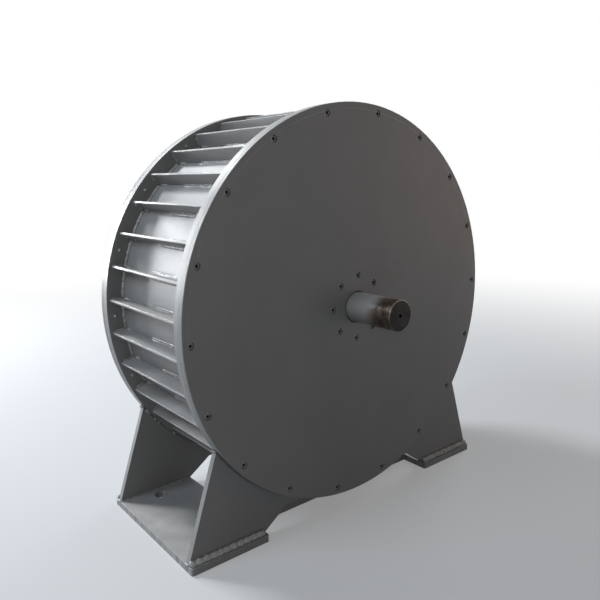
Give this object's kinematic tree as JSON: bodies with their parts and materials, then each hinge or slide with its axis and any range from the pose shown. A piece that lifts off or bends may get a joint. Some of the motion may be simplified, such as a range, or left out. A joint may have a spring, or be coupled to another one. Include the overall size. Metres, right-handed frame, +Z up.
{
  "type": "low-speed generator",
  "caption": "Low-speed disc generator: finned round housing between flat covers on two welded feet, with a bare shaft end that spins.",
  "frame": {"origin": "centre of the four anchor holes, on the underside of the base plates", "axes": "+X to the right along the front cover, shaft points to -Y, +Z up"},
  "size_m": [1.107, 0.624, 1.146],
  "materials": {
    "grey_paint": "satin mid-grey machinery paint over plate",
    "shaft_steel": "turned steel, bare at the end and grey overspray near the cover"
  },
  "bodies": {
    "housing": {"base_plate_left": "grey_paint", "base_plate_right": "grey_paint", "cooling_fins_01": "grey_paint", "cooling_fins_02": "grey_paint", "cooling_fins_03": "grey_paint", "cooling_fins_04": "grey_paint", "cooling_fins_05": "grey_paint", "cooling_fins_06": "grey_paint", "cooling_fins_07": "grey_paint", "cooling_fins_08": "grey_paint", "cooling_fins_09": "grey_paint", "cooling_fins_10": "grey_paint", "cooling_fins_11": "grey_paint", "cooling_fins_12": "grey_paint", "front_bearing_housing": "grey_paint", "front_cover": "grey_paint", "front_flange_ring": "grey_paint", "front_foot_plate_left": "grey_paint", "front_foot_plate_right": "grey_paint", "front_tie_bar": "grey_paint", "rear_bearing_housing": "grey_paint", "rear_cover": "grey_paint", "rear_flange_ring": "grey_paint", "rear_foot_plate_left": "grey_paint", "rear_foot_plate_right": "grey_paint", "stator_shell": "grey_paint"},
    "rotor": {"shaft": "shaft_steel"}
  },
  "joints": [
    {"name": "shaft_spin", "type": "hinge", "parent": "housing", "child": "rotor", "pos_m": [0, -0.232, 0.596], "axis": [0, -1, 0], "continuous": true}
  ]
}
